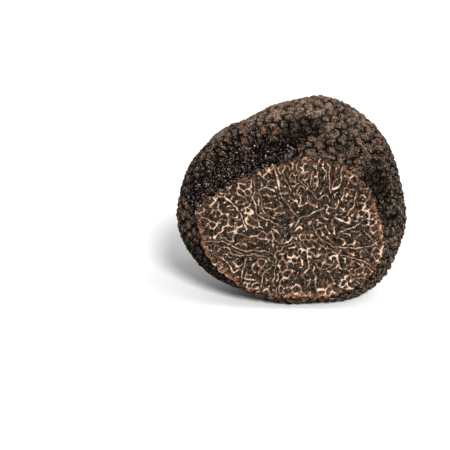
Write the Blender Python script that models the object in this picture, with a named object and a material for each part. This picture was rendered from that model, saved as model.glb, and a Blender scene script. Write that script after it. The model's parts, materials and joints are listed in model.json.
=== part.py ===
"""A black truffle with one side sliced away, standing on a small flat spot.

The truffle grew as one piece, so it is one solid.  Its body is a smooth union of a few lobes, with a
furrow and some shallower hollows pressed into it.  The rind is divided into polygonal cells, and each
cell is raised to a low pyramid: one wart.  A straight knife cut takes the front off and shows the flat
flesh, and the underside is pressed flat where the truffle rests.

Lengths are in millimetres until the mesh is made, in metres, +Z up.  The origin is the middle of the
bounding box, on the surface that the truffle stands on.  The cut looks along -Y.
"""

import math
from collections import defaultdict
from typing import NamedTuple

import bmesh
import bpy
import numpy as np
from mathutils import Vector

METRES_PER_MM = 0.001


class Lobe(NamedTuple):
    """One swelling of the body: an ellipsoid."""

    centre: tuple
    radii: tuple


class Press(NamedTuple):
    """A hollow in the body: what a round-ended rod would press out of it."""

    start: tuple
    end: tuple
    radius: float
    edge: float


# The body, before the cut.  The knife comes down in front of it, at -Y.
HEART = np.array((0.0, 0.0, 25.0))
LOBES = {
    "belly": Lobe((-2.5, 0.0, 22.5), (27.5, 26.5, 23.0)),
    "crown": Lobe((5.5, 6.0, 30.5), (23.5, 17.0, 22.5)),
    "left shoulder": Lobe((-10.5, 3.0, 28.0), (17.0, 17.5, 18.5)),
    "right foot": Lobe((10.5, -0.5, 17.5), (19.0, 19.5, 18.5)),
}
LOBE_BLEND = 2.0
PRESSES = {
    "furrow": Press((-27.5, -13.0, 35.0), (-3.5, -13.0, 48.5), 7.0, 0.5),
    "brow": Press((-2.0, -20.0, 49.5), (10.0, -20.0, 54.5), 11.0, 2.0),
    "crown dimple": Press((1.0, -12.0, 51.0), (5.0, -9.0, 54.0), 5.0, 1.2),
    "left heel": Press((-30.0, -20.0, -2.5), (-22.0, -20.0, -12.5), 15.0, 2.0),
    "right heel": Press((36.0, -20.0, 4.0), (42.0, -20.0, 14.0), 15.0, 2.0),
}

# Slow swells in the rind, from a few waves that cross the body.
SWELL_HEIGHT = 0.45
SWELL_WAVES = 7
SWELL_LENGTHS = (13.0, 24.0)

# The skin is found along rays from the heart, none of which is longer than this.
RAY_LENGTH = 60.0
RAY_HALVINGS = 20
SLOPE_STEP = 0.2

# The warts: broader on the left of the truffle than on its right, and small and low in the furrow.
WART_SPACING_LEFT = 2.45
WART_SPACING_RIGHT = 1.85
WART_SPACING_TURN = 14.0
WART_SPACING_SPREAD = 0.15
WART_SPACING_JITTER = 0.12
PATCH_WAVES = ((0.21, 0.13, -0.17), (-0.11, 0.19, 0.23))
FURROW_SPACING = 1.45
FURROW_MARGIN = 0.6
WART_HEIGHT = 1.0
FURROW_WART_HEIGHT = 0.6
WART_HEIGHT_SPREAD = 0.25
GROOVE_SHARE = 0.7
CANDIDATES = 24000
RELAX_ROUNDS = 2
RELAX_SHARE = 0.5
SEED = 7

# The knife cut and the resting spot.  The floor is z = 0, and the body reaches a little below it.
CUT_Y = -13.7
CUT_HEIGHT = 22.0
CUT_LEAN_DEG = 3.0
ON_PLANE = 0.00001

RIND_COLOUR = (0.045, 0.033, 0.028)
RIND_ROUGHNESS = 0.75
FLESH_COLOUR = (0.085, 0.055, 0.038)
FLESH_ROUGHNESS = 0.5


def smooth_least(values, blend):
    """The least of the rows of values, rounded off where two rows come within blend."""
    least = values.min(axis=0)
    return least - blend * np.log(np.exp((least - values) / blend).sum(axis=0))


def press_depth(press, points):
    """How far each point lies inside a press, negative outside."""
    start, end = np.array(press.start), np.array(press.end)
    run = end - start
    along = np.clip((points - start) @ run / (run @ run), 0.0, 1.0)
    return press.radius - np.linalg.norm(points - start - along[:, None] * run, axis=1)


def swell(points):
    """The slow unevenness of the body at each point."""
    draw = np.random.default_rng(SEED)
    height = np.zeros(len(points))
    for _ in range(SWELL_WAVES):
        heading = draw.normal(size=3)
        heading /= np.linalg.norm(heading)
        length = draw.uniform(*SWELL_LENGTHS)
        phase = draw.uniform(0.0, 2.0 * math.pi)
        height += np.sin(2.0 * math.pi * (points @ heading) / length + phase)
    return SWELL_HEIGHT * height / math.sqrt(SWELL_WAVES)


def body_field(points):
    """Below zero inside the body and above it outside, about in millimetres."""
    lobes = np.array(
        [
            (np.linalg.norm((points - lobe.centre) / lobe.radii, axis=1) - 1.0) * min(lobe.radii)
            for lobe in LOBES.values()
        ]
    )
    field = smooth_least(lobes, LOBE_BLEND) - swell(points)
    for press in PRESSES.values():
        field = -smooth_least(np.array([-field, -press_depth(press, points)]), press.edge)
    return field


def on_skin(directions):
    """The points where rays from the heart of the body leave it."""
    near = np.zeros(len(directions))
    far = np.full(len(directions), RAY_LENGTH)
    for _ in range(RAY_HALVINGS):
        middle = 0.5 * (near + far)
        inside = body_field(HEART + middle[:, None] * directions) < 0.0
        near = np.where(inside, middle, near)
        far = np.where(inside, far, middle)
    return HEART + (0.5 * (near + far))[:, None] * directions


def headings(points):
    """Unit vectors from the heart to the points."""
    arms = points - HEART
    return arms / np.linalg.norm(arms, axis=1)[:, None]


def outward(points):
    """Unit normals of the body at points on its skin."""
    slopes = [
        body_field(points + SLOPE_STEP * axis) - body_field(points - SLOPE_STEP * axis)
        for axis in np.eye(3)
    ]
    slopes = np.stack(slopes, axis=1)
    return slopes / np.linalg.norm(slopes, axis=1)[:, None]


def in_furrow(points):
    """1 on the floor of the furrow and 0 away from it."""
    return np.clip(press_depth(PRESSES["furrow"], points) / FURROW_MARGIN + 1.0, 0.0, 1.0)


def wart_spacing(points, draw):
    """How far apart the warts stand at each point."""
    rightness = 0.5 + 0.5 * np.tanh(points[:, 0] / WART_SPACING_TURN)
    spacing = WART_SPACING_LEFT + (WART_SPACING_RIGHT - WART_SPACING_LEFT) * rightness
    patches = np.prod([np.sin(points @ wave) for wave in PATCH_WAVES], axis=0)
    spacing *= 1.0 + WART_SPACING_SPREAD * patches
    spacing *= draw.uniform(1.0 - WART_SPACING_JITTER, 1.0 + WART_SPACING_JITTER, len(points))
    furrow = in_furrow(points)
    return spacing * (1.0 - furrow) + FURROW_SPACING * furrow


def scatter_warts():
    """Wart centres, spread over the skin no closer than their own spacing."""
    draw = np.random.default_rng(SEED + 1)
    rays = draw.normal(size=(CANDIDATES, 3))
    points = on_skin(rays / np.linalg.norm(rays, axis=1)[:, None])
    spacing = wart_spacing(points, draw)

    box = 1.5 * WART_SPACING_LEFT
    taken = defaultdict(list)
    kept = []
    for i, point in enumerate(points):
        x, y, z = (int(v) for v in np.floor(point / box))
        around = [
            j
            for dx in (-1, 0, 1)
            for dy in (-1, 0, 1)
            for dz in (-1, 0, 1)
            for j in taken[x + dx, y + dy, z + dz]
        ]
        if around:
            gaps = np.linalg.norm(points[around] - point, axis=1)
            closest = gaps.argmin()
            if gaps[closest] < 0.5 * (spacing[i] + spacing[around[closest]]):
                continue
        taken[x, y, z].append(i)
        kept.append(i)
    return points[kept]


def triangulate(points):
    """Triangles that join neighbouring wart centres, seen from the heart, facing out."""
    mesh = bmesh.new()
    for direction in headings(points):
        mesh.verts.new(direction)
    bmesh.ops.convex_hull(mesh, input=mesh.verts)
    mesh.verts.index_update()
    triangles = []
    for face in mesh.faces:
        a, b, c = (vertex.index for vertex in face.verts)
        if face.normal.dot(face.calc_center_median()) < 0.0:
            b, c = c, b
        triangles.append((a, b, c))
    mesh.free()
    return np.array(triangles)


def relax(points):
    """Each wart centre drawn towards the middle of its neighbours, and back onto the skin."""
    triangles = triangulate(points)
    total = np.zeros_like(points)
    count = np.zeros(len(points))
    for a, b in ((0, 1), (1, 2), (2, 0)):
        for here, there in ((a, b), (b, a)):
            np.add.at(total, triangles[:, here], points[triangles[:, there]])
            np.add.at(count, triangles[:, here], 1.0)
    around = total / count[:, None]
    return on_skin(headings(points + RELAX_SHARE * (around - points)))


def wart_outlines(triangles, count):
    """For each wart, the triangles round it in order: their middles are its corners."""
    following = [{} for _ in range(count)]
    for number, corners in enumerate(triangles):
        for turn in range(3):
            wart, after, before = np.roll(corners, -turn)
            following[wart][after] = (before, number)
    outlines = []
    for links in following:
        start = min(links)
        outline, here = [], start
        while True:
            here, number = links[here]
            outline.append(number)
            if here == start:
                break
        outlines.append(outline)
    return outlines


def rind():
    """The whole warty skin as a closed bmesh, in millimetres."""
    draw = np.random.default_rng(SEED + 2)
    warts = scatter_warts()
    for _ in range(RELAX_ROUNDS):
        warts = relax(warts)
    triangles = triangulate(warts)

    corners = on_skin(headings(warts[triangles].mean(axis=1)))
    furrow = in_furrow(warts)
    height = WART_HEIGHT * (1.0 - furrow) + FURROW_WART_HEIGHT * furrow
    height *= draw.uniform(1.0 - WART_HEIGHT_SPREAD, 1.0 + WART_HEIGHT_SPREAD, len(warts))
    tips = warts + outward(warts) * (height * (1.0 - GROOVE_SHARE))[:, None]
    groove = height[triangles].mean(axis=1) * GROOVE_SHARE
    corners = corners - outward(corners) * groove[:, None]

    mesh = bmesh.new()
    low = [mesh.verts.new(corner) for corner in corners]
    for tip, outline in zip(tips, wart_outlines(triangles, len(warts))):
        cell = mesh.faces.new([low[number] for number in outline])
        poked = bmesh.ops.poke(mesh, faces=[cell])
        poked["verts"][0].co = tip
    bmesh.ops.recalc_face_normals(mesh, faces=mesh.faces)
    return mesh


def slice_off(mesh, point, normal, material):
    """Cuts away what lies beyond a plane and closes the body with one flat face."""
    bmesh.ops.bisect_plane(
        mesh,
        geom=[*mesh.verts, *mesh.edges, *mesh.faces],
        dist=ON_PLANE,
        plane_co=point,
        plane_no=normal,
        clear_outer=True,
    )
    rim = [edge for edge in mesh.edges if edge.is_boundary]
    filled = bmesh.ops.triangle_fill(mesh, edges=rim, use_beauty=True, normal=normal)
    for face in filled["geom"]:
        if isinstance(face, bmesh.types.BMFace):
            face.material_index = material
            if face.normal.dot(normal) < 0.0:
                face.normal_flip()


def finish(name, colour, roughness):
    """A plain Principled material."""
    material = bpy.data.materials.new(name)
    material.use_nodes = True
    shader = material.node_tree.nodes["Principled BSDF"]
    shader.inputs["Base Color"].default_value = (*colour, 1.0)
    shader.inputs["Roughness"].default_value = roughness
    shader.inputs["Metallic"].default_value = 0.0
    material.diffuse_color = (*colour, 1.0)
    return material


def make_truffle():
    """The truffle as one object, in metres, on the floor and centred over the origin."""
    mesh = rind()
    lean = math.radians(CUT_LEAN_DEG)
    slice_off(mesh, Vector((0.0, CUT_Y, CUT_HEIGHT)), Vector((0.0, -math.cos(lean), math.sin(lean))), 1)
    slice_off(mesh, Vector((0.0, 0.0, 0.0)), Vector((0.0, 0.0, -1.0)), 0)

    places = np.array([vertex.co for vertex in mesh.verts])
    low, high = places.min(axis=0), places.max(axis=0)
    middle = Vector((0.5 * (low[0] + high[0]), 0.5 * (low[1] + high[1]), low[2]))
    bmesh.ops.translate(mesh, verts=mesh.verts, vec=-middle)
    bmesh.ops.scale(mesh, verts=mesh.verts, vec=Vector((METRES_PER_MM,) * 3))

    data = bpy.data.meshes.new("truffle")
    mesh.to_mesh(data)
    mesh.free()
    data.materials.append(finish("rind", RIND_COLOUR, RIND_ROUGHNESS))
    data.materials.append(finish("flesh", FLESH_COLOUR, FLESH_ROUGHNESS))
    truffle = bpy.data.objects.new("truffle", data)
    bpy.context.scene.collection.objects.link(truffle)
    return truffle


for leftover in list(bpy.data.objects):
    bpy.data.objects.remove(leftover)
make_truffle()
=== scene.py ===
"""The looks of a black truffle with one side sliced away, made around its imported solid.

The rind is a finer copy of the solid with rounded, chipped warts.  The flesh is a fine sheet laid on the
knife cut, with its veins grown as the broken borders of small cells around a few long veins.  Soil
grains lie in the furrow and a few root hairs lie over the warts.

Blender lengths are metres.  The sizes in this script are millimetres times MM.
"""

import json
import logging
import math
from collections.abc import Sequence
from dataclasses import dataclass, field
from enum import Enum
from typing import Any

import bpy
import numpy as np
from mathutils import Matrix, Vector, noise
from mathutils.kdtree import KDTree


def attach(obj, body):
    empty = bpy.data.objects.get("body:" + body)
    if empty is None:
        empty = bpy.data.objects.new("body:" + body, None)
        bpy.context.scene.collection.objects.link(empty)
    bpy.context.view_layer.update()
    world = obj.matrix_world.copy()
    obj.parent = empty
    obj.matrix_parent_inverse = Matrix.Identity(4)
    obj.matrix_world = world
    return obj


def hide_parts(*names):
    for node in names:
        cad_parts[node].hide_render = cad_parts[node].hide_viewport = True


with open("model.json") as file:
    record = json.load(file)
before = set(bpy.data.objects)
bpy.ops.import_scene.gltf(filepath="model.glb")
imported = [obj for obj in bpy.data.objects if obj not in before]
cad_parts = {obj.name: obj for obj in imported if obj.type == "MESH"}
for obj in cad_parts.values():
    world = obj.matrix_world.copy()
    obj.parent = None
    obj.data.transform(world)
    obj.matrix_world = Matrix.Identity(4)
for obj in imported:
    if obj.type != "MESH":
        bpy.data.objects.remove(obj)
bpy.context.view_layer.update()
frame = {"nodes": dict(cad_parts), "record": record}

MM = 0.001
BODY = "root"
NODE = "truffle"
# The attributes that keep which way the smoothed skin faces.
OUTWARD = ("out_x", "out_y", "out_z")

Array = np.ndarray
Material = bpy.types.Material
Mesh = bpy.types.Mesh
Object = bpy.types.Object
Socket = bpy.types.NodeSocket
Colour = tuple[float, float, float]
Place = tuple[float, float, float]
Spot = tuple[Place, float]
Points = Sequence[tuple[float, float]]

log = logging.getLogger("truffle")


def linear(channel: int) -> float:
    """The linear share of a display channel of 0 to 255."""
    share = channel / 255.0
    return share / 12.92 if share <= 0.04045 else ((share + 0.055) / 1.055) ** 2.4


def paint(red: int, green: int, blue: int) -> Colour:
    """A display colour of 0 to 255 a channel, as the linear colour that shaders take."""
    return linear(red), linear(green), linear(blue)


def at(x: float, y: float, z: float) -> Place:
    """A place given in millimetres, in metres."""
    return x * MM, y * MM, z * MM


def spot(x: float, y: float, z: float, radius: float) -> Spot:
    """The middle and radius of a patch given in millimetres, in metres."""
    return at(x, y, z), radius * MM


# ----- Shader building -----


class Value:
    """A number on a shader socket.  Expressions on values add their Math nodes."""

    def __init__(self, shader: "Shader", socket: Socket) -> None:
        """Wraps a socket of a shader."""
        self.shader = shader
        self.socket = socket

    def _maths(self, operation: str, first: Any, second: Any) -> "Value":
        """Adds one Math node and gives its result."""
        node = self.shader.node("ShaderNodeMath", {"operation": operation}, {0: first, 1: second})
        return Value(self.shader, node.outputs[0])

    def __add__(self, other: Any) -> "Value":
        """self + other."""
        return self._maths("ADD", self, other)

    def __radd__(self, other: Any) -> "Value":
        """other + self."""
        return self._maths("ADD", other, self)

    def __sub__(self, other: Any) -> "Value":
        """self - other."""
        return self._maths("SUBTRACT", self, other)

    def __rsub__(self, other: Any) -> "Value":
        """other - self."""
        return self._maths("SUBTRACT", other, self)

    def __mul__(self, other: Any) -> "Value":
        """self * other."""
        return self._maths("MULTIPLY", self, other)

    def swing(self, width: Any) -> "Value":
        """Noise of 0 to 1, made to swing round 0 over this width."""
        return (self - 0.5) * width

    def step(self, low: float, high: float) -> "Value":
        """Rises smoothly from 0 to 1 as the value goes from low to high.

        Args:
            low: Where the result is 0.
            high: Where the result is 1.  It may be below low.

        Returns:
            The smooth step.
        """
        upside_down = high < low
        ends = {1: high, 2: low} if upside_down else {1: low, 2: high}
        settings = {"interpolation_type": "SMOOTHSTEP"}
        node = self.shader.node("ShaderNodeMapRange", settings, {0: self, **ends})
        result = Value(self.shader, node.outputs[0])
        return 1.0 - result if upside_down else result


class Shader:
    """The node tree of one material, built up by its methods."""

    def __init__(self, name: str) -> None:
        """Makes an empty material with a Principled shader.

        Args:
            name: The material's name.
        """
        self.material = bpy.data.materials.new(name)
        self.material.use_nodes = True
        self.tree = self.material.node_tree
        self.principled = self.tree.nodes["Principled BSDF"]
        self.place = self.node("ShaderNodeTexCoord", {}, {}).outputs["Object"]

    def node(self, kind: str, settings: dict[str, Any], inputs: dict[Any, Any]) -> bpy.types.Node:
        """Adds a node.

        Args:
            kind: Blender's name of the node type.
            settings: The node's own properties, set first.
            inputs: A value, socket or Value for each input, by name or number.

        Returns:
            The node.
        """
        made = self.tree.nodes.new(kind)
        for name, setting in settings.items():
            setattr(made, name, setting)
        for name, given in inputs.items():
            self.feed(made.inputs[name], given)
        return made

    def feed(self, socket: Socket, given: Any) -> None:
        """Links or sets an input.

        Args:
            socket: The input.
            given: A socket or Value to link, or a constant.
        """
        if isinstance(given, Value):
            given = given.socket
        if isinstance(given, Socket):
            self.tree.links.new(given, socket)
        elif socket.type == "RGBA":
            socket.default_value = (*given, 1.0)
        else:
            socket.default_value = given

    def attribute(self, name: str) -> Value:
        """The number that the mesh keeps under this name."""
        return Value(self, self.node("ShaderNodeAttribute", {"attribute_name": name}, {}).outputs["Fac"])

    def noise(self, size: float, detail: float = 2.0, roughness: float = 0.5) -> Value:
        """Noise of about 0.2 to 0.8, from the size of its spots, its finer octaves and their strength."""
        inputs = {"Vector": self.place, "Scale": 1.0 / size, "Detail": detail, "Roughness": roughness}
        return Value(self, self.node("ShaderNodeTexNoise", {}, inputs).outputs["Fac"])

    def mix(self, share: Any, first: Any, second: Any) -> Socket:
        """Mixes two colours, by how much of the second one shows."""
        inputs = {"Factor": share, 6: first, 7: second}
        return self.node("ShaderNodeMix", {"data_type": "RGBA"}, inputs).outputs[2]

    def bump(self, height: Value, depth: float, under: Any = None) -> Socket:
        """Turns a height of 0 to 1 into a normal.

        Args:
            height: The height.
            depth: How deep 1 is, in metres.
            under: The normal of a coarser bump, if there is one.

        Returns:
            The socket of the normal.
        """
        inputs = {"Height": height, "Distance": depth, "Strength": 1.0}
        if under is not None:
            inputs["Normal"] = under
        return self.node("ShaderNodeBump", {}, inputs).outputs["Normal"]

    def finish(self, colour: Any, roughness: Any, normal: Any, specular: float) -> Material:
        """Connects the Principled shader.

        Args:
            colour: The base colour.
            roughness: The roughness.
            normal: The normal, or None.
            specular: The specular level, a constant.

        Returns:
            The finished material.
        """
        self.feed(self.principled.inputs["Base Color"], colour)
        self.feed(self.principled.inputs["Roughness"], roughness)
        if normal is not None:
            self.feed(self.principled.inputs["Normal"], normal)
        self.principled.inputs["Specular IOR Level"].default_value = specular
        return self.material


# ----- Finishes -----


@dataclass(frozen=True)
class RindFinish:
    """Matt black-brown warts with grooves painted near black as shade, dust and painted light from above
    on their tops, and wet black soil in the furrow.
    """

    # The groove colour is painted shade in the recesses between the warts.
    groove: Colour = paint(6, 5, 4)
    groove_under_dust_and_top_light: Colour = paint(38, 31, 27)
    flank: Colour = paint(29, 24, 20)
    grey_top: Colour = paint(88, 76, 67)
    red_top: Colour = paint(98, 67, 51)
    dust_and_glint: Colour = paint(146, 126, 108)
    crest: Colour = paint(158, 138, 121)
    red_crest: Colour = paint(138, 100, 81)
    soil: Colour = paint(5, 4, 4)
    broken: Colour = paint(140, 84, 52)
    cloud_size: float = 7.0 * MM
    tint_size: float = 1.7 * MM
    mottle_size: float = 0.85 * MM
    mottle_depth: float = 0.55 * MM
    speck_size: float = 0.33 * MM
    speck_depth: float = 0.26 * MM
    specular: float = 0.02

    def material(self) -> Material:
        """Builds the material.

        Returns:
            The material.
        """
        shader = Shader("rind")
        tip = shader.attribute("tip")
        chance = shader.attribute("chance")
        soil = shader.attribute("soil")
        shade = shader.attribute("shade")
        upward = shader.attribute("out_z")
        cloud = shader.noise(self.cloud_size)
        tint = shader.noise(self.tint_size)
        mottle = shader.noise(self.mottle_size, 3.0, 0.7)
        speck = shader.noise(self.speck_size, 2.0, 0.7)

        # Dust lies, and painted light from above falls, where the skin faces upwards, and both make the
        # grooves paler there.
        dust_and_top_light = (upward + cloud.swing(1.1)).step(0.48, 1.12)
        patchy = mottle.swing(0.8) + tint.swing(dust_and_top_light * 0.7 + 0.1)
        # Painted shade: the black grooves widen in the painted-shade patches and where the skin faces
        # sideways or down.
        ragged = tip + patchy - shade * 0.55 + (dust_and_top_light - 0.62) * 0.35
        groove = shader.mix(dust_and_top_light * (1.0 - shade), self.groove, self.groove_under_dust_and_top_light)
        colour = shader.mix((ragged + cloud.swing(0.6)).step(-0.06, 0.36), groove, self.flank)

        # The tops are worn grey or reddish, and palest on the crests where dust and painted light from
        # above lie.
        top = shader.mix((tint + chance * 0.3).step(0.45, 0.85), self.grey_top, self.red_top)
        crest = shader.mix((tint + speck.swing(1.2)).step(0.42, 0.66), self.crest, self.red_crest)
        top = shader.mix(dust_and_top_light, top, crest)
        # The top colour shows most towards each wart's middle, as wear and as painted light on its dome,
        # and in fine pale specks that are partly grit and partly painted glints.
        worn_and_lit = (mottle.swing(1.9) + speck.swing(dust_and_top_light * 1.5 + 2.2) + 0.15).step(-0.5, 0.75)
        worn_and_lit = worn_and_lit * (ragged * 1.6 + cloud * 0.6 + chance * 0.7).step(0.80, 2.05)
        colour = shader.mix(worn_and_lit, colour, top)
        # Pale flecks on the wart tops: specks of dust, and painted glints.
        flecks_and_glints = (speck + mottle * 0.5).step(0.76, 0.92) * tip.step(0.1, 0.5) * 0.75
        colour = shader.mix(flecks_and_glints, colour, self.dust_and_glint)

        # Painted shade in the shaded patches, then the soil and the broken warts, go over that.
        colour = shader.mix(shade * 0.65, colour, self.groove)
        colour = shader.mix(soil * (1.0 - speck.step(0.62, 0.74) * 0.35), colour, self.soil)
        broken = shader.attribute("broken") + mottle.swing(1.9) + speck.swing(1.6)
        colour = shader.mix(broken.step(0.55, 1.6), colour, self.broken)

        roughness = 0.8 - soil * 0.42 + speck.swing(0.3)
        grain = shader.bump(mottle, self.mottle_depth)
        normal = shader.bump(speck, self.speck_depth, grain)
        return shader.finish(colour, roughness, normal, self.specular)


@dataclass(frozen=True)
class FleshFinish:
    """Dark grey-brown flesh with cream and tan veins, rusty in places towards the rim."""

    dark: Colour = paint(6, 5, 4)
    pale: Colour = paint(56, 49, 43)
    tan: Colour = paint(96, 70, 54)
    cream: Colour = paint(181, 158, 138)
    rust: Colour = paint(62, 37, 25)
    bright_rust: Colour = paint(150, 94, 60)
    skin: Colour = paint(22, 15, 11)
    patch_size: float = 5.5 * MM
    cloud_size: float = 2.8 * MM
    mottle_size: float = 0.9 * MM
    mottle_depth: float = 0.16 * MM
    speck_size: float = 0.28 * MM
    speck_depth: float = 0.07 * MM
    specular: float = 0.01

    def material(self) -> Material:
        """Builds the material.

        Returns:
            The material.
        """
        shader = Shader("flesh")
        vein = shader.attribute("vein") * (1.0 / MM)
        bright = shader.attribute("bright")
        rim = shader.attribute("rim") * (1.0 / MM)
        patches = shader.noise(self.patch_size, 1.0)
        cloud = shader.noise(self.cloud_size)
        mottle = shader.noise(self.mottle_size, 3.0, 0.65)
        speck = shader.noise(self.speck_size, 2.0, 0.6)

        colour = shader.mix((mottle * 0.55 + speck * 0.45).step(0.40, 0.66), self.dark, self.pale)
        warm = (cloud + mottle.swing(0.5)).step(0.52, 0.74) * speck.step(0.40, 0.60)
        colour = shader.mix(warm * 0.45, colour, self.tan)

        # Rust lies in ragged patches along the rim.
        patchy = (patches * 2.2 + speck.swing(1.3) + mottle.swing(1.5)).step(1.12, 1.50)
        near_rim = (rim + mottle.swing(2.6)).step(1.9, 0.1) * (patchy * 0.8 + 0.1)
        rusty = shader.mix((mottle + speck.swing(1.2)).step(0.34, 0.64), self.rust, self.bright_rust)
        rusty = shader.mix(speck.step(0.56, 0.70) * 0.6, rusty, self.cream)
        colour = shader.mix(near_rim * 0.85, colour, rusty)

        # The veins are tan at their sides and cream in the middle, and rustier near the rim.
        side = shader.mix(near_rim * 0.7, self.tan, self.bright_rust)
        middle = shader.mix(near_rim * 0.4, self.cream, self.bright_rust)
        edge = vein + speck.swing(0.16)
        colour = shader.mix(edge.step(-0.12, 0.02), colour, side)
        strong = edge + bright.swing(0.13) + mottle.swing(0.16)
        colour = shader.mix(strong.step(-0.03, 0.16), colour, middle)

        # The thin dark skin, and painted shade that blackens the fissures, go over that.
        colour = shader.mix((rim + mottle.swing(0.5)).step(0.38, 0.12), colour, self.skin)
        split = shader.attribute("split") + speck.swing(0.5)
        colour = shader.mix(split.step(0.2, 0.6), colour, self.dark)

        roughness = 0.62 + mottle.swing(0.5)
        relief = shader.bump(mottle, self.mottle_depth)
        normal = shader.bump(speck, self.speck_depth, relief)
        return shader.finish(colour, roughness, normal, self.specular)


@dataclass(frozen=True)
class GrainFinish:
    """Black, brown and a few pale grains of soil."""

    black: Colour = paint(10, 8, 8)
    brown: Colour = paint(88, 64, 54)
    sand: Colour = paint(150, 137, 130)
    speck_size: float = 0.2 * MM
    specular: float = 0.5

    def material(self) -> Material:
        """Builds the material.

        Returns:
            The material.
        """
        shader = Shader("soil_grain")
        chance = shader.attribute("chance")
        speck = shader.noise(self.speck_size, 1.0)
        colour = shader.mix((chance + speck.swing(0.2)).step(0.42, 0.66), self.black, self.brown)
        colour = shader.mix(chance.step(0.88, 0.96), colour, self.sand)
        return shader.finish(colour, 0.2 + speck * 0.3, None, self.specular)


@dataclass(frozen=True)
class HairFinish:
    """Dry pale root hair."""

    pale: Colour = paint(184, 160, 136)
    dark: Colour = paint(124, 103, 86)
    streak_size: float = 0.8 * MM
    roughness: float = 0.7
    specular: float = 0.3

    def material(self) -> Material:
        """Builds the material.

        Returns:
            The material.
        """
        shader = Shader("root_hair")
        streak = shader.noise(self.streak_size, 1.0)
        colour = shader.mix(streak.step(0.3, 0.7), self.dark, self.pale)
        return shader.finish(colour, self.roughness, None, self.specular)


class FloorTone(Enum):
    """The paleness of the floor."""

    WHITE = paint(246, 246, 246)
    PALE_GREY = paint(226, 226, 226)


@dataclass(frozen=True)
class FloorFinish:
    """Smooth pale paper."""

    tone: FloorTone = FloorTone.WHITE
    fibre_tone: FloorTone = FloorTone.PALE_GREY
    fibre_size: float = 3.0 * MM
    fibre_share: float = 0.02
    roughness: float = 0.85
    specular: float = 0.1

    def material(self) -> Material:
        """Builds the material.

        Returns:
            The material.
        """
        shader = Shader("floor")
        fibre = shader.noise(self.fibre_size) * self.fibre_share
        colour = shader.mix(fibre, self.tone.value, self.fibre_tone.value)
        return shader.finish(colour, self.roughness, None, self.specular)


# ----- Helpers for meshes -----


@dataclass(frozen=True)
class Plane:
    """A flat face of the solid: a point on it and its outward normal."""

    point: Array
    normal: Array

    @classmethod
    def of_mount(cls, name: str) -> "Plane":
        """Reads a flat-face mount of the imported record.

        Args:
            name: The mount's name.

        Returns:
            Its plane.
        """
        mount = next(m for m in frame["record"]["mounts"] if m["name"] == name)
        normal = np.array(mount["axis"], float)
        return cls(np.array(mount["pos_m"], float), normal / np.linalg.norm(normal))

    def height(self, places: Array) -> Array:
        """How far each place stands out of the plane."""
        return (places - self.point) @ self.normal

    def axes(self) -> tuple[Array, Array]:
        """Finds the directions in the plane.

        Returns:
            Its level axis and its axis upwards.
        """
        level = np.cross((0.0, 0.0, 1.0), self.normal)
        level /= np.linalg.norm(level)
        return level, np.cross(self.normal, level)


def places_of(mesh: Mesh) -> Array:
    """Reads the vertices of a mesh.

    Args:
        mesh: The mesh.

    Returns:
        Rows of x, y and z.
    """
    places = np.empty(3 * len(mesh.vertices))
    mesh.vertices.foreach_get("co", places)
    return places.reshape(-1, 3)


def normals_of(mesh: Mesh) -> Array:
    """The normal of each vertex of a mesh."""
    return np.array([vertex.normal[:] for vertex in mesh.vertices])


def read(mesh: Mesh, name: str) -> Array:
    """Reads an attribute of a mesh.

    Args:
        mesh: The mesh.
        name: The attribute's name.

    Returns:
        One number for each vertex.
    """
    numbers = np.empty(len(mesh.vertices))
    mesh.attributes[name].data.foreach_get("value", numbers)
    return numbers


def write(mesh: Mesh, name: str, numbers: Array) -> None:
    """Keeps an attribute in a mesh.

    Args:
        mesh: The mesh.
        name: The attribute's name.
        numbers: One number for each vertex.
    """
    if name not in mesh.attributes:
        mesh.attributes.new(name, "FLOAT", "POINT")
    mesh.attributes[name].data.foreach_set("value", np.ascontiguousarray(numbers, np.float32))


def placed(name: str, data: bpy.types.ID) -> Object:
    """Adds an object to the scene, at the origin.

    Args:
        name: Its name.
        data: Its mesh, curve, light or camera.

    Returns:
        The object.
    """
    made = bpy.data.objects.new(name, data)
    bpy.context.scene.collection.objects.link(made)
    return made


def only(piece: Object) -> None:
    """Makes one object the selected and active one.

    Args:
        piece: The object.
    """
    bpy.ops.object.select_all(action="DESELECT")
    piece.select_set(True)
    bpy.context.view_layer.objects.active = piece


def dress(piece: Object, material: Material, crease_deg: float = 0.0) -> None:
    """Gives a piece its one material, and smooth shading where a crease angle is given.

    Args:
        piece: The piece.
        material: The material.
        crease_deg: The angle from which its edges stay sharp, or 0 to leave the shading alone.
    """
    piece.data.materials.clear()
    piece.data.materials.append(material)
    if crease_deg:
        only(piece)
        bpy.ops.object.shade_smooth_by_angle(angle=math.radians(crease_deg))


def smooth_step(low: float, high: float, values: Array) -> Array:
    """Rises smoothly from 0 at low to 1 at high."""
    share = np.clip((values - low) / (high - low), 0.0, 1.0)
    return share * share * (3.0 - 2.0 * share)


def clouded(places: Array, size: float, shift: Place = (0.0, 0.0, 0.0)) -> Array:
    """Smooth noise at each place, with spots of this size.  A shift gives another pattern."""
    return np.array([noise.noise(Vector(p / size) + Vector(shift)) for p in places])


def to_segment(places: Array, start: Array, end: Array) -> Array:
    """Measures places from a straight segment.

    Args:
        places: Rows of two or three numbers.
        start: One end of the segment.
        end: The other end.

    Returns:
        The distance of each place.
    """
    run = end - start
    along = np.clip((places - start) @ run / (run @ run), 0.0, 1.0)
    return np.linalg.norm(places - start - along[:, None] * run, axis=1)


# ----- The rind -----


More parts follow.
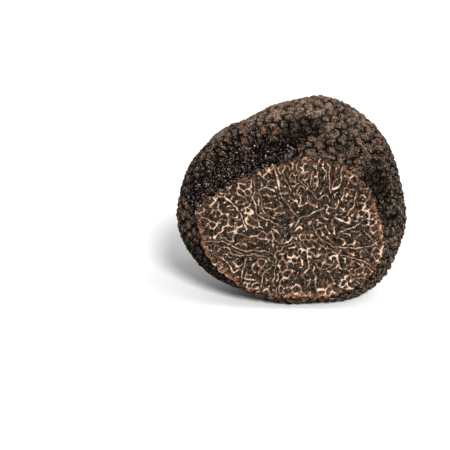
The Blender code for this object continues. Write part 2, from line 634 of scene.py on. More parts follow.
@dataclass
class Rind:
    """The whole warty skin: a finer copy of the solid, with rounded warts and craggy surfaces."""

    cut: Plane
    merge: float = 0.01 * MM
    cuts: int = 4
    flat: float = 0.02 * MM
    seed: int = 11
    crease_deg: float = 75.0
    # How far a wart stands out at least, how much of a tip the vertices on the flat faces count as,
    # and the least share that a mark is divided by.
    least_lift: float = 0.2 * MM
    rim_share: float = 0.4
    least_share: float = 0.05
    # The rounded warts: how high they are, where they flatten off, and how far soil lowers them.
    height_share: float = 0.85
    roundness: float = 2.5
    top: float = 0.66
    top_spread: float = 0.25
    top_slope: float = 0.2
    soil_press: float = 0.55
    # Their relief.
    crag: float = 0.36 * MM
    crag_size: float = 0.9 * MM
    crack: float = 0.40 * MM
    crack_size: float = 1.35 * MM
    crack_width: float = 0.12
    crack_shift: Place = (9.0, 3.0, 5.0)
    granule: float = 0.40 * MM
    granule_size: float = 0.80 * MM
    granule_middle: float = 0.45
    fill: float = 0.30 * MM
    fill_size: float = 2.2 * MM
    fill_shift: Place = (2.0, 7.0, 1.0)
    rough_limit: float = 0.14 * MM
    # The furrow's middle line, drawn to its lower side, and the other marks, from the cut face's mount.
    furrow_start: Place = at(-26.7, 0.75, 12.3)
    furrow_end: Place = at(-2.7, 0.75, 25.8)
    furrow_radius: float = 7.1 * MM
    furrow_ragged: float = 1.0 * MM
    furrow_ragged_size: float = 1.6 * MM
    furrow_edge: tuple[float, float] = (-0.4 * MM, 0.3 * MM)
    # Patches of painted shade: right of the cut, low on the left, in the dimple, above the cut and on the
    # left lobe.
    shaded: tuple[Spot, ...] = (
        spot(21.5, 2.5, 11.0, 9.0),
        spot(-24.0, 5.0, -12.0, 14.0),
        spot(4.6, 8.0, 26.2, 5.2),
        spot(0.6, 7.2, 25.2, 4.6),
        spot(7.5, 9.0, 16.5, 10.5),
        spot(-22.8, 10.5, 7.5, 7.8),
    )
    shaded_core: float = 0.35
    broken_warts: tuple[Spot, ...] = (spot(-7.9, 8.5, 24.6, 1.1), spot(-5.2, 8.1, 24.7, 1.15))
    broken_core: float = 0.55
    crack_line: tuple[Place, ...] = (at(23.4, 0.0, 3.1), at(25.2, 3.0, 2.8), at(27.2, 6.6, 2.4))
    crack_line_width: float = 0.95 * MM
    crack_line_depth: float = 1.1 * MM

    def build(self) -> Object:
        """Makes the rind.

        Returns:
            The finished piece.
        """
        piece = self._copy()
        self._mark_tips(piece.data)
        self._subdivide(piece)
        self._shape(piece.data)
        self._mark_places(piece.data)
        dress(piece, RindFinish().material(), self.crease_deg)
        return piece

    def _copy(self) -> Object:
        """Copies the solid as one joined surface.

        Returns:
            The copy.
        """
        piece = placed("truffle_rind", frame["nodes"][NODE].data.copy())
        only(piece)
        bpy.ops.mesh.customdata_custom_splitnormals_clear()
        bpy.ops.object.mode_set(mode="EDIT")
        bpy.context.tool_settings.mesh_select_mode = (False, False, True)
        bpy.ops.mesh.select_all(action="SELECT")
        bpy.ops.mesh.remove_doubles(threshold=self.merge)
        bpy.ops.object.mode_set(mode="OBJECT")
        return piece

    def _on_flat(self, places: Array) -> Array:
        """Whether each place is on the cut or on the flat spot underneath."""
        return (np.abs(self.cut.height(places)) < self.flat) | (places[:, 2] < self.flat)

    def _mark_tips(self, mesh: Mesh) -> None:
        """Finds which vertices are the tips of warts, and keeps how far each stands out.

        Args:
            mesh: The copy's mesh, not yet divided.
        """
        places = places_of(mesh)
        count = len(places)
        ends = np.array([edge.vertices[:] for edge in mesh.edges])
        normals = normals_of(mesh)
        tally = np.bincount(ends.ravel(), minlength=count)[:, None]

        def around(values: Array) -> Array:
            """Averages over the neighbours of each vertex.

            Args:
                values: A row for each vertex.

            Returns:
                The mean of the neighbours' rows.
            """
            total = np.zeros_like(values)
            np.add.at(total, ends[:, 0], values[ends[:, 1]])
            np.add.at(total, ends[:, 1], values[ends[:, 0]])
            return total / np.maximum(tally, 1)

        for _ in range(2):
            normals = normals + around(normals)
            normals /= np.linalg.norm(normals, axis=1)[:, None]
        stands_out = ((places - around(places)) * normals).sum(axis=1)
        on_flat = self._on_flat(places)

        neighbours: list[list[int]] = [[] for _ in range(count)]
        for a, b in ends:
            neighbours[a].append(b)
            neighbours[b].append(a)
        tip = np.zeros(count, bool)
        for i in np.argsort(-stands_out):
            if not on_flat[i] and not any(tip[j] for j in neighbours[i]):
                tip[i] = True
        draw = np.random.default_rng(self.seed)
        write(mesh, "tip", np.where(on_flat, self.rim_share, tip))
        write(mesh, "lift", np.where(tip, np.maximum(stands_out, self.least_lift), 0.0))
        write(mesh, "chance", np.where(tip, draw.uniform(0.0, 1.0, count), 0.0))
        for axis, name in enumerate(OUTWARD):
            write(mesh, name, normals[:, axis])
        log.info("the rind has %d warts", tip.sum())

    def _subdivide(self, piece: Object) -> None:
        """Divides every face of the rind, but not the flat faces.

        Args:
            piece: The copy, still the selected object, with faces as what edit mode selects.
        """
        mesh = piece.data
        middles = np.array([face.center[:] for face in mesh.polygons])
        chosen = (self.cut.height(middles) < -self.flat) & (middles[:, 2] > self.flat)
        mesh.polygons.foreach_set("select", chosen)
        bpy.ops.object.mode_set(mode="EDIT")
        bpy.ops.mesh.subdivide(number_cuts=self.cuts)
        bpy.ops.object.mode_set(mode="OBJECT")

    def _shape(self, mesh: Mesh) -> None:
        """Rounds each wart, roughens it, and keeps everything behind the flat faces.

        Args:
            mesh: The divided mesh, with the tips marked on it.
        """
        places = places_of(mesh)
        share = read(mesh, "tip")
        inner = np.maximum(share, self.least_share)
        out = np.stack([read(mesh, name) for name in OUTWARD], axis=1)
        out /= np.linalg.norm(out, axis=1)[:, None]
        lift = read(mesh, "lift") / inner
        chance = np.clip(read(mesh, "chance") / inner, 0.0, 1.0)
        on_flat = self._on_flat(places)
        soil = self._soil(places)
        middle = smooth_step(0.1, 0.6, share)

        dome = 1.0 - (1.0 - share) ** self.roundness
        dome = np.minimum(dome, self.top + self.top_spread * chance + self.top_slope * (dome - self.top))
        height = lift * (self.height_share * dome * (1.0 - self.soil_press * soil) - share)

        crag = np.array([noise.fractal(Vector(p / self.crag_size), 0.7, 2.1, 3) for p in places])
        ridge = clouded(places, self.crack_size, self.crack_shift)
        granule = np.array([noise.voronoi(Vector(p / self.granule_size))[0][0] for p in places])
        filled = clouded(places, self.fill_size, self.fill_shift)
        filled = smooth_step(-0.12, 0.26, filled) * (1.0 - share) ** 2
        filled *= 0.3 + 0.7 * smooth_step(0.3, 0.8, out[:, 2])
        height += self.fill * filled
        crack = 1.0 - smooth_step(0.0, self.crack_width, np.abs(ridge))
        rough = self.crag * crag * (0.5 + 0.5 * smooth_step(0.0, 0.4, share) + 0.5 * soil)
        rough += self.granule * (self.granule_middle - granule) * (0.6 + 0.6 * soil)
        height += np.minimum(rough, self.rough_limit * (1.0 + soil))
        height -= self.crack * crack * middle
        line = np.array(self.crack_line) + self.cut.point
        away = np.min([to_segment(places, start, end) for start, end in zip(line, line[1:])], axis=0)
        split = smooth_step(self.crack_line_width, 0.3 * self.crack_line_width, away)
        height -= self.crack_line_depth * split
        places += out * np.where(on_flat, 0.0, height)[:, None]

        over = np.where(on_flat, 0.0, np.maximum(self.cut.height(places) + self.flat, 0.0))
        places -= over[:, None] * self.cut.normal
        places[:, 2] = np.maximum(places[:, 2], np.where(on_flat, 0.0, self.flat))
        mesh.vertices.foreach_set("co", places.ravel())
        # A low tip share takes the black groove colour as painted shade: in the grooves, the cracks and
        # the crack line.
        broad = 1.0 - (1.0 - share) ** 1.6
        broad += 0.65 * filled - 0.8 * crack * middle
        write(mesh, "tip", np.clip(broad, 0.0, 1.0) * (1.0 - split))
        write(mesh, "chance", chance)
        write(mesh, "soil", soil)
        mesh.update()

    def _soil(self, places: Array) -> Array:
        """Works out where soil lies in the furrow.

        Args:
            places: Rows of x, y and z.

        Returns:
            How much of it lies on each place, 0 to 1.
        """
        start = self.cut.point + self.furrow_start
        end = self.cut.point + self.furrow_end
        furrow = self.furrow_radius - to_segment(places, start, end)
        ragged = self.furrow_ragged * clouded(places, self.furrow_ragged_size)
        return smooth_step(*self.furrow_edge, furrow + ragged)

    def _mark_places(self, mesh: Mesh) -> None:
        """Keeps where painted shade darkens the rind and where the broken warts are.

        Args:
            mesh: The shaped mesh.
        """
        places = places_of(mesh) - self.cut.point
        shaded = ("shade", self.shaded, self.shaded_core)
        broken = ("broken", self.broken_warts, self.broken_core)
        for name, spots, core in (shaded, broken):
            away = [np.linalg.norm(places - middle, axis=1) / radius for middle, radius in spots]
            write(mesh, name, smooth_step(1.0, core, np.min(away, axis=0)))


# ----- The flesh -----


def pair_chance(low: Array, high: Array, key: Place) -> Array:
    """A number of 0 to 1 for each pair of cells, always the same for the same pair and key."""
    return np.modf(np.abs(np.sin(low * key[0] + high * key[1]) * key[2]))[0]


@dataclass
class Veins:
    """The vein pattern on the cut face: the broken borders of small cells around some long veins."""

    seed: int = 5
    # The cells, how they are drawn out towards the heart, and which share of their borders is dropped.
    candidates: int = 14000
    spread: float = 4.0 * MM
    spacing: float = 1.35 * MM
    spacing_swing: float = 0.25
    swing_across: float = 4.3 * MM
    swing_up: float = 3.2 * MM
    stretch: float = 0.72
    heart: tuple[float, float] = (1.0 * MM, 1.7 * MM)
    dropped: float = 0.36
    dropped_key: Place = (12.9898, 78.233, 43758.5453)
    thickness_key: Place = (39.3461, 11.135, 24634.6345)
    # The veins: half their widths, the stars where three meet, and the room around long veins.
    half_width: float = 0.062 * MM
    long_half_width: float = 0.090 * MM
    star: float = 0.52 * MM
    stub: float = 0.3 * MM
    clearing: float = 0.70 * MM
    nowhere: float = -0.6 * MM
    # How they swell, bend and waver, the pale flecks between them, and how creamy they are.
    swell: float = 0.022 * MM
    swell_size: float = 0.8 * MM
    bend: float = 0.22 * MM
    bend_size: float = 3.0 * MM
    wiggle: float = 0.05 * MM
    wiggle_size: float = 0.9 * MM
    fleck: float = 0.08 * MM
    fleck_size: float = 0.42 * MM
    fleck_rarity: float = 2.2
    cream_size: float = 1.6 * MM
    long_cream: float = 0.75
    # The swollen junctions, in millimetres to the right of and above the mount of the cut face.
    swollen: float = 0.18 * MM
    swollen_size: float = 0.95 * MM
    junctions: Points = (
        (18.5, 6.0), (-12.5, 1.0), (-17.0, 8.0), (-21.0, 8.0),
        (-4.0, 12.5), (1.5, 0.5), (-15.5, -9.5), (7.5, -15.0),
    )
    # Long veins, as a few points each, given in the same way.
    long_veins: tuple[Points, ...] = (
        ((-10.0, 18.0), (-10.3, 10.5), (-10.0, 6.0), (-8.0, 3.5), (-5.5, 2.3), (-2.0, 1.0)),
        ((-8.8, 13.0), (-8.5, 7.8), (-6.5, 4.2), (-3.5, 2.8)),
        ((0.3, 18.5), (0.8, 14.5), (2.0, 12.5), (5.5, 9.5)),
        ((-6.0, 18.0), (-4.2, 12.5), (-3.0, 8.5), (1.0, 3.5)),
        ((-3.5, 19.0), (-2.5, 15.0), (-1.0, 10.0)),
        ((4.5, 15.8), (4.4, 12.0)),
        ((8.3, 18.0), (9.0, 14.0), (9.0, 10.0)),
        ((12.0, 16.5), (11.5, 12.5)),
        ((16.0, 10.5), (15.3, 7.0), (13.5, 3.8)),
        (
            (-26.0, -1.5), (-22.0, -3.0), (-18.5, -2.6), (-14.5, -4.5),
            (-11.0, -5.3), (-7.5, -5.0), (-5.0, -6.2),
        ),
        (
            (-21.0, -6.0), (-20.0, -4.0), (-17.0, -4.6), (-15.0, -6.2),
            (-9.5, -6.6), (-7.0, -6.8), (-5.8, -8.5),
        ),
        ((1.0, -2.5), (-3.0, -4.3), (-4.8, -7.0), (-5.3, -12.0), (-4.5, -17.0)),
        ((-19.5, -6.5), (-17.0, -9.0), (-15.5, -10.5), (-14.0, -10.0)),
        ((-12.0, -8.0), (-13.0, -10.0), (-13.7, -13.5)),
        ((4.5, 1.5), (7.0, -2.0), (12.5, -4.4), (18.5, -4.0), (22.5, -2.5)),
        ((12.0, -6.4), (16.0, -7.0), (21.5, -10.3)),
        ((17.5, 3.0), (15.0, 1.0), (11.5, -0.5)),
        ((4.0, 11.0), (5.5, 8.0), (8.0, 9.3), (8.7, 7.2)),
        ((18.0, 0.5), (20.5, -3.0)),
        ((-21.0, 11.5), (-19.5, 9.5), (-16.8, 7.8), (-14.0, 4.5), (-12.0, 0.5)),
        ((0.0, 1.0), (2.0, 3.5), (7.3, 6.2)),
        ((-6.0, -9.0), (-7.8, -11.0), (-8.7, -15.0)),
        ((5.0, -8.6), (8.0, -10.0), (10.3, -8.0)),
    )
    # Short fissures, painted black as the shade inside them, given in the same way.
    fissures: tuple[Points, ...] = (
        ((-4.3, -1.7), (-3.2, -1.0), (-2.0, -1.5), (-0.9, -0.5)),
        ((-3.1, 2.3), (-1.9, 1.9)),
        ((-4.5, -3.9), (-3.3, -3.7)),
        ((-5.6, -17.6), (-3.4, -17.8)),
        ((22.3, 3.2), (25.0, 3.0)),
    )
    fissure_width: float = 0.55 * MM

    def split(self, places: Array) -> Array:
        """Works out where the fissures are.

        Args:
            places: Rows of two numbers.

        Returns:
            How deep each place lies in a fissure, 0 to 1.
        """
        least = np.full(len(places), 1.0)
        for points in self.fissures:
            line = self.route(points)
            for start, end in zip(line, line[1:]):
                least = np.minimum(least, to_segment(places, start, end))
        return smooth_step(self.fissure_width, 0.3 * self.fissure_width, least)

    def clouds(self, shape: tuple[int, int], step: float, size: float, seed: int) -> Array:
        """Smooth seeded noise on a grid.

        Args:
            shape: The grid's rows and columns.
            step: The grid's spacing.
            size: The least size of a cloud.
            seed: The draw.

        Returns:
            Noise of mean 0 and spread 1.
        """
        rows = np.fft.fftfreq(shape[0], step)[:, None]
        columns = np.fft.fftfreq(shape[1], step)[None, :]
        keep = np.exp(-((np.hypot(rows, columns) * size) ** 2))
        white = np.random.default_rng(seed).normal(size=shape)
        soft = np.real(np.fft.ifft2(np.fft.fft2(white) * keep))
        return soft / soft.std()

    def cells(self, width: float, height: float) -> Array:
        """The middles of the cells, scattered no closer than their spacing.

        Args:
            width: How far they spread to the sides.
            height: How far they spread up and down.

        Returns:
            One row of two numbers for each cell.
        """
        draw = np.random.default_rng(self.seed)
        half = np.array([width, height]) / 2.0
        kept = np.empty((0, 2))
        for place in draw.uniform(-half, half, (self.candidates, 2)):
            swing = math.sin(place[0] / self.swing_across + 1.0) * math.sin(place[1] / self.swing_up)
            room = self.spacing * (1.0 + self.spacing_swing * swing)
            if len(kept) == 0 or np.hypot(*(kept - place).T).min() > room:
                kept = np.vstack([kept, place])
        return kept

    def network(self, places: Array) -> Array:
        """How deep each place lies inside the fine veins between the cells, which point at the heart.

        Args:
            places: Rows of two numbers.

        Returns:
            Depths in metres, negative outside.
        """
        low, high = places.min(axis=0), places.max(axis=0)
        middles = self.cells(*(high - low + self.spread)) + (low + high) / 2.0
        tree = KDTree(len(middles))
        for number, (x, y) in enumerate(middles):
            tree.insert((x, y, 0.0), number)
        tree.balance()
        near = np.array([[hit[1] for hit in tree.find_n((x, y, 0.0), 6)] for x, y in places])
        radial = middles - self.heart
        radial /= np.linalg.norm(radial, axis=1)[:, None]
        gaps = places[:, None] - middles[near]
        along = (gaps * radial[near]).sum(axis=2)
        gaps = (gaps**2).sum(axis=2) - (1.0 - self.stretch**2) * along**2
        three = np.argsort(gaps, axis=1)[:, :3]
        reach = np.take_along_axis(gaps, three, axis=1)
        cell = np.take_along_axis(near, three, axis=1)
        apart = np.linalg.norm(middles[cell[:, 1:]] - middles[cell[:, :1]], axis=2)
        border, corner = ((reach[:, 1:] - reach[:, :1]) / (2.0 * apart)).T
        low, high = cell[:, :2].min(axis=1), cell[:, :2].max(axis=1)
        kept = pair_chance(low, high, self.dropped_key) > self.dropped
        thick = pair_chance(low, high, self.thickness_key)
        star = np.clip(1.0 - corner / self.star, 0.0, 1.0)
        whole = self.half_width * (0.35 + 0.8 * thick + 1.4 * star**1.5) - border
        stub = self.half_width * 1.3 * star - border - self.stub * (1.0 - star)
        return np.where(kept, whole, stub)

    def route(self, points: Points, pieces: int = 10) -> Array:
        """A smooth line through a few points.

        Args:
            points: The points, in millimetres.
            pieces: How many short pieces join two points.

        Returns:
            The line's points, in metres.
        """
        given = np.array(points) * MM
        given = np.vstack([2 * given[0] - given[1], given, 2 * given[-1] - given[-2]])
        line = []
        for a, b, c, d in zip(given, given[1:], given[2:], given[3:]):
            for t in np.arange(pieces) / pieces:
                cubic = (3 * b - a - 3 * c + d) * t**3 + (2 * a - 5 * b + 4 * c - d) * t**2
                line.append(0.5 * (2 * b + (c - a) * t + cubic))
        return np.array([*line, given[-2]])

    def to_long(self, places: Array) -> tuple[Array, Array]:
        """Measures places from the long veins, which thin at their ends.

        Args:
            places: Rows of two numbers.

        Returns:
            Distances from the nearest one, and depths inside one, negative outside.
        """
        least = np.full(len(places), 1.0)
        depth = np.full(len(places), -1.0)
        for points in self.long_veins:
            line = self.route(points)
            near = np.all((places > line.min(axis=0) - MM) & (places < line.max(axis=0) + MM), axis=1)
            for number, (start, end) in enumerate(zip(line, line[1:])):
                away = to_segment(places[near], start, end)
                along = math.sin(math.pi * (number + 0.5) / (len(line) - 1))
                half = self.long_half_width * (0.35 + 0.65 * along**0.6)
                least[near] = np.minimum(least[near], away)
                depth[near] = np.maximum(depth[near], half - away)
        return least, depth

    def grow(self, across: Array, up: Array, step: float) -> tuple[Array, Array]:
        """Grows the veins over a grid.

        Args:
            across: The grid's places to the right.
            up: The grid's places upwards.
            step: The grid's spacing.

        Returns:
            How deep each grid point lies inside a vein, in metres, negative outside, and how creamy the
            veins are there, about 0 to 1.
        """
        shape = across.shape

        def clouds(size: float, number: int) -> Array:
            """The clouds of this number, with spots of this size."""
            return self.clouds(shape, step, size, self.seed + number)

        bent = []
        for number, flat in ((1, across), (2, up)):
            bend = self.bend * clouds(self.bend_size, number)
            bent.append(flat + bend + self.wiggle * clouds(self.wiggle_size, number + 2))
        places = np.stack([part.ravel() for part in bent], axis=1)
        far, long_depth = self.to_long(places)
        fine = np.where(far < self.clearing, self.nowhere, self.network(places))
        depth = np.maximum(fine, long_depth).reshape(shape)
        depth += self.swell * clouds(self.swell_size, 5)
        for x, y in self.junctions:
            away = np.hypot(across - x * MM, up - y * MM) / self.swollen_size
            depth += self.swollen * np.exp(-(away**2))
        flecks_and_glints = self.fleck * (clouds(self.fleck_size, 6) - self.fleck_rarity)
        cream = 0.5 + 0.38 * clouds(self.cream_size, 9)
        near_long = 1.0 - smooth_step(0.0, self.clearing, far.reshape(shape))
        return np.maximum(depth, flecks_and_glints), cream + near_long * (self.long_cream - cream) * 0.6


@dataclass
class Flesh:
    """The cut face: a fine sheet on the knife cut that ends just inside the rind."""

    cut: Plane
    step: float = 0.14 * MM
    proud: float = 0.06 * MM
    inset: float = 0.10 * MM
    depth: float = 0.5 * MM
    margin: float = 1.5 * MM
    droop: float = 0.10 * MM
    droop_width: float = 0.5 * MM
    fissure_depth: float = 0.3 * MM
    fissure_wave: float = 0.18 * MM
    fissure_wave_size: float = 0.7 * MM
    fissure_seed: int = 3
    # In steps: how far inside the rim the sheet's points start, and up to where they are drawn to it.
    first: float = 0.6
    drawn: float = 1.7
    on_cut: float = 0.002 * MM
    crease_deg: float = 50.0
    veins: Veins = field(default_factory=Veins)

    def __post_init__(self) -> None:
        """Reads the outline of the cut face."""
        self.level, self.upright = self.cut.axes()
        self.outline = self._outline()

    def _outline(self) -> Array:
        """Follows the rim of the solid's cut face.

        Returns:
            A closed round of places in the plane, as rows of two numbers.
        """
        mesh = frame["nodes"][NODE].data
        places = np.round(places_of(mesh) / MM, 4)
        whole, index = np.unique(places, axis=0, return_inverse=True)
        index = index.reshape(-1)
        on_cut = np.abs(self.cut.height(whole * MM)) < self.on_cut
        seen: dict[tuple[int, int], int] = {}
        for face in mesh.polygons:
            corners = [index[v] for v in face.vertices]
            if all(on_cut[corner] for corner in corners):
                for a, b in zip(corners, corners[1:] + corners[:1]):
                    pair = (min(a, b), max(a, b))
                    seen[pair] = seen.get(pair, 0) + 1
        after: dict[int, list[int]] = {}
        for (a, b), times in seen.items():
            if times == 1 and a != b:
                after.setdefault(a, []).append(b)
                after.setdefault(b, []).append(a)
        rounds = []
        while after:
            start = next(iter(after))
            line, here = [start], start
            while after.get(here):
                there = after[here].pop()
                if not after[here]:
                    del after[here]
                after[there].remove(here)
                if not after[there]:
                    del after[there]
                line.append(there)
                here = there
            rounds.append(line)
        longest = whole[max(rounds, key=len)] * MM - self.cut.point
        return np.stack([longest @ self.level, longest @ self.upright], axis=1)

    def _to_rim(self, places: Array) -> tuple[Array, Array, Array]:
        """Where places in the plane lie from the rim.

        Args:
            places: Rows of two numbers.

        Returns:
            Whether each is inside, its distance from the rim, and the nearest place on the rim.
        """
        inside = np.zeros(len(places), bool)
        least = np.full(len(places), 1.0)
        nearest = np.zeros_like(places)
        x, y = places.T
        for start, end in zip(self.outline, self.outline[1:]):
            crosses = (start[1] > y) != (end[1] > y)
            rise = end[1] - start[1] or 1e-12
            inside ^= crosses & (x < start[0] + (y - start[1]) * (end[0] - start[0]) / rise)
            run = end - start
            along = np.clip((places - start) @ run / max(run @ run, 1e-18), 0.0, 1.0)
            foot = start + along[:, None] * run
            gap = np.linalg.norm(places - foot, axis=1)
            closer = gap < least
            least[closer] = gap[closer]
            nearest[closer] = foot[closer]
        return inside, least, nearest

    def build(self) -> Object:
        """Makes the flesh.

        Returns:
            The finished piece.
        """
        low = self.outline.min(axis=0) - self.margin
        high = self.outline.max(axis=0) + self.margin
        columns, rows = (int(n) for n in np.ceil((high - low) / self.step))
        bpy.ops.object.select_all(action="DESELECT")
        bpy.ops.mesh.primitive_grid_add(x_subdivisions=columns, y_subdivisions=rows, size=1.0)
        piece = bpy.context.active_object
        piece.name = "truffle_flesh"
        mesh = piece.data
        flat = places_of(mesh)[:, :2]
        flat = low + (flat + 0.5) * [columns * self.step, rows * self.step]
        shape = (rows + 1, columns + 1)

        inside, gap, nearest = self._to_rim(flat)
        vein, bright = self.veins.grow(flat[:, 0].reshape(shape), flat[:, 1].reshape(shape), self.step)
        write(mesh, "vein", vein.ravel())
        write(mesh, "bright", bright.ravel())
        write(mesh, "rim", np.where(inside, gap, 0.0))
        wave = self.veins.clouds(shape, self.step, self.fissure_wave_size, self.fissure_seed)
        write(mesh, "split", self.veins.split(flat + self.fissure_wave * wave.ravel()[:, None]))

        keep = inside & (gap > self.first * self.step)
        border = keep & (gap < self.drawn * self.step)
        toward = (nearest - flat) / np.maximum(gap, 1e-9)[:, None]
        moved = np.where(border[:, None], nearest - toward * self.inset, flat)
        self._trim(piece, keep, moved)
        self._back(piece)
        dress(piece, FleshFinish().material(), self.crease_deg)
        return piece

    def _trim(self, piece: Object, keep: Array, flat: Array) -> None:
        """Puts the grid on the cut and deletes what is outside the rim.

        Args:
            piece: The grid.
            keep: Which of its points stay.
            flat: Their places in the plane.
        """
        mesh = piece.data
        height = self.proud - self.droop * (1.0 - smooth_step(0.0, self.droop_width, read(mesh, "rim")))
        height -= self.fissure_depth * read(mesh, "split")
        places = (
            self.cut.point
            + flat[:, :1] * self.level
            + flat[:, 1:] * self.upright
            + height[:, None] * self.cut.normal
        )
        mesh.vertices.foreach_set("co", places.ravel())
        for parts in (mesh.edges, mesh.polygons):
            parts.foreach_set("select", np.zeros(len(parts), bool))
        mesh.vertices.foreach_set("select", ~keep)
        only(piece)
        bpy.context.tool_settings.mesh_select_mode = (True, False, False)
        bpy.ops.object.mode_set(mode="EDIT")
        bpy.ops.mesh.delete(type="VERT")
        bpy.ops.mesh.select_all(action="SELECT")
        bpy.ops.mesh.normals_make_consistent(inside=False)
        bpy.ops.object.mode_set(mode="OBJECT")
        if mesh.polygons[0].normal.dot(Vector(self.cut.normal)) < 0.0:
            mesh.flip_normals()

    def _back(self, piece: Object) -> None:
        """Closes the sheet behind, so that it is a thin solid.

        Args:
            piece: The trimmed sheet.
        """
        back = {"value": tuple(-self.depth * self.cut.normal)}
        only(piece)
        bpy.ops.object.mode_set(mode="EDIT")
        bpy.context.tool_settings.mesh_select_mode = (False, True, False)
        bpy.ops.mesh.select_all(action="DESELECT")
        bpy.ops.mesh.select_non_manifold(
            extend=False, use_wire=False, use_multi_face=False, use_non_contiguous=False, use_verts=False
        )
        bpy.ops.mesh.extrude_region_move(TRANSFORM_OT_translate=back)
        bpy.ops.mesh.edge_face_add()
        bpy.ops.mesh.select_all(action="SELECT")
        bpy.ops.mesh.normals_make_consistent(inside=False)
        bpy.ops.object.mode_set(mode="OBJECT")


# ----- Soil grains and root hairs -----


@dataclass
class SoilGrains:
    """Small angular grains, most of them in the furrow."""

    rind: Object
    in_furrow: int = 1500
    elsewhere: int = 120
    least: float = 0.09 * MM
    most: float = 0.26 * MM
    stands_out: float = 0.3
    lumpy: tuple[float, float] = (0.6, 1.2)
    squashed: tuple[float, float] = (0.7, 1.3)
    # Where the grains lie: on soil of at least so much, or on clean warts above a height.
    soiled: float = 0.6
    clean: float = 0.1
    lowest: float = 8.0 * MM
    seed: int = 21

    def build(self) -> Object:
        """Makes the grains as one piece.

        Returns:
            The finished piece.
        """
        mesh = self.rind.data
        places = places_of(mesh)
        normals = normals_of(mesh)
        soil = read(mesh, "soil")
        furrow = np.flatnonzero(soil > self.soiled)
        warts = np.flatnonzero((soil < self.clean) & (places[:, 2] > self.lowest))
        draw = np.random.default_rng(self.seed)
        lots = ((furrow, self.in_furrow), (warts, self.elsewhere))
        seats = np.concatenate([draw.choice(lot, count, replace=False) for lot, count in lots])
        bpy.ops.object.select_all(action="DESELECT")
        bpy.ops.mesh.primitive_ico_sphere_add(subdivisions=1, radius=1.0)
        model = bpy.context.active_object
        shape = places_of(model.data)
        faces = np.array([face.vertices[:] for face in model.data.polygons])
        bpy.data.objects.remove(model)

        all_places, all_faces, chances = [], [], []
        for number, seat in enumerate(seats):
            size = self.least * (self.most / self.least) ** draw.uniform(0.0, 1.0)
            if number >= self.in_furrow:
                size = self.least
            lumps = shape * draw.uniform(*self.lumpy, (len(shape), 1)) * draw.uniform(*self.squashed, 3)
            all_faces.append(faces + len(shape) * number)
            all_places.append(places[seat] + normals[seat] * self.stands_out * size + lumps * size)
            chances.append(np.full(len(shape), draw.uniform(0.0, 1.0)))
        made = bpy.data.meshes.new("soil_grains")
        made.from_pydata(np.vstack(all_places).tolist(), [], np.vstack(all_faces).tolist())
        write(made, "chance", np.concatenate(chances))
        piece = placed("soil_grains", made)
        dress(piece, GrainFinish().material())
        return piece


@dataclass
class RootHairs:
    """Fine broken root hairs that lie over the warts."""

    rind: Object
    count: int = 48
    steps: int = 9
    shortest: float = 1.6 * MM
    longest: float = 5.0 * MM
    thickness: float = 0.075 * MM
    taper: float = 0.6
    lift: float = 0.16 * MM
    rise: float = 2.0
    turn: float = 0.18
    clean: float = 0.1
    lowest: float = 12.0 * MM
    seed: int = 33

    def build(self) -> Object:
        """Makes the hairs as one piece.

        Returns:
            The finished piece.
        """
        draw = np.random.default_rng(self.seed)
        places = places_of(self.rind.data)
        clean = read(self.rind.data, "soil") < self.clean
        high = np.flatnonzero((places[:, 2] > self.lowest) & clean)
        curve = bpy.data.curves.new("root_hairs", "CURVE")
        curve.dimensions = "3D"
        curve.bevel_depth = self.thickness
        curve.bevel_resolution = 0
        curve.use_fill_caps = True
        for seat in draw.choice(high, self.count, replace=False):
            line = self._line(Vector(places[seat]), draw)
            spline = curve.splines.new("POLY")
            spline.points.add(len(line) - 1)
            for number, (point, place) in enumerate(zip(spline.points, line)):
                point.co = (*place, 1.0)
                point.radius = 1.0 - self.taper * number / len(line)
        piece = placed("root_hairs", curve)
        only(piece)
        bpy.ops.object.convert(target="MESH")
        dress(piece, HairFinish().material())
        return piece

    def _line(self, start: Vector, draw: np.random.Generator) -> list[Vector]:
        """Walks over the rind from a start.

        Args:
            start: A place on the rind.
            draw: The seeded draw.

        Returns:
            The hair's points, a little above the rind.
        """
        stride = draw.uniform(self.shortest, self.longest) / self.steps
        heading = Vector(draw.normal(size=3))
        place, line = start, []
        for number in range(self.steps):
            _, touch, normal, _ = self.rind.closest_point_on_mesh(place)
            line.append(touch + normal * self.lift * (1.0 + self.rise * number / self.steps))
            heading += Vector(draw.normal(size=3)) * self.turn
            heading = (heading - heading.dot(normal) * normal).normalized()
            place = line[-1] + heading * stride
        return line


# ----- The studio -----


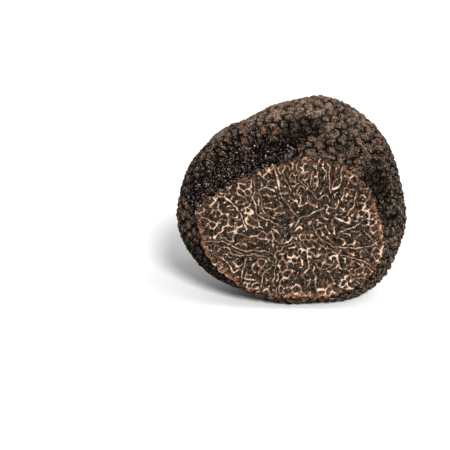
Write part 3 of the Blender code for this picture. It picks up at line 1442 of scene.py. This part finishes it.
@dataclass
class Studio:
    """A pale floor, soft light and the camera."""

    cut: Plane
    floor_size: float = 8.0
    elevation_deg: float = 13.0
    distance: float = 335.0 * MM
    lens: float = 100.0
    sensor: float = 36.0
    reach: float = 20.0
    # The middle of the view, from the cut face's mount: the truffle stands right of it.
    aim: Place = at(-17.9, 12.55, -1.25)
    main_softness_deg: float = 12.0
    main_from: Place = (0.16, -0.90, 0.42)
    main_strength: float = 5.0
    fill_softness_deg: float = 40.0
    fill_from: Place = (0.50, -0.50, 0.70)
    fill_strength: float = 1.0
    surround: float = 0.45

    def build(self) -> None:
        """Sets the whole studio up."""
        self._floor()
        self._lights()
        self._camera()

    def _floor(self) -> None:
        """Lays the floor."""
        bpy.ops.object.select_all(action="DESELECT")
        bpy.ops.mesh.primitive_plane_add(size=self.floor_size)
        floor = bpy.context.active_object
        floor.name = "floor"
        dress(floor, FloorFinish().material())

    def _lamp(self, name: str, toward: Place, strength: float, softness_deg: float) -> None:
        """Adds a wide soft light that shines from one direction.

        Args:
            name: Its name.
            toward: The direction to where it shines from.
            strength: How strong it is.
            softness_deg: How wide it is.
        """
        light = bpy.data.lights.new(name, "SUN")
        light.energy = strength
        light.angle = math.radians(softness_deg)
        placed(name, light).rotation_euler = Vector(toward).to_track_quat("Z", "Y").to_euler()

    def _lights(self) -> None:
        """Adds a soft light in front, a wider, weaker one at the upper right and a white surround."""
        self._lamp("front_softbox", self.main_from, self.main_strength, self.main_softness_deg)
        self._lamp("upper_fill", self.fill_from, self.fill_strength, self.fill_softness_deg)
        world = bpy.data.worlds.new("white_surround")
        world.use_nodes = True
        surround = world.node_tree.nodes["Background"]
        surround.inputs["Color"].default_value = (1.0, 1.0, 1.0, 1.0)
        surround.inputs["Strength"].default_value = self.surround
        bpy.context.scene.world = world
        bpy.context.scene.view_settings.view_transform = "Standard"

    def _camera(self) -> None:
        """Places the camera."""
        data = bpy.data.cameras.new("camera")
        data.lens = self.lens
        data.sensor_width = self.sensor
        data.clip_end = self.reach
        camera = placed("camera", data)
        tilt = math.radians(self.elevation_deg)
        aim = Vector(self.cut.point) + Vector(self.aim)
        camera.location = aim + self.distance * Vector((0.0, -math.cos(tilt), math.sin(tilt)))
        camera.rotation_euler = (math.radians(90.0) - tilt, 0.0, 0.0)
        bpy.context.scene.camera = camera


def hand_over(piece: Object) -> None:
    """Lets a piece ride with the truffle.

    Args:
        piece: The finished piece.
    """
    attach(piece, BODY)
    log.info("%s: %d faces", piece.name, len(piece.data.polygons))


def main() -> None:
    """Builds every piece in order."""
    logging.basicConfig(level=logging.INFO, format="%(name)s: %(message)s")
    cut = Plane.of_mount("cut_face")
    Studio(cut).build()

    rind = Rind(cut).build()
    hand_over(rind)
    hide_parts(NODE)

    flesh = Flesh(cut).build()
    hand_over(flesh)
    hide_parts(NODE)

    grains = SoilGrains(rind).build()
    hand_over(grains)

    hairs = RootHairs(rind).build()
    hand_over(hairs)


if __name__ == "__main__":
    main()
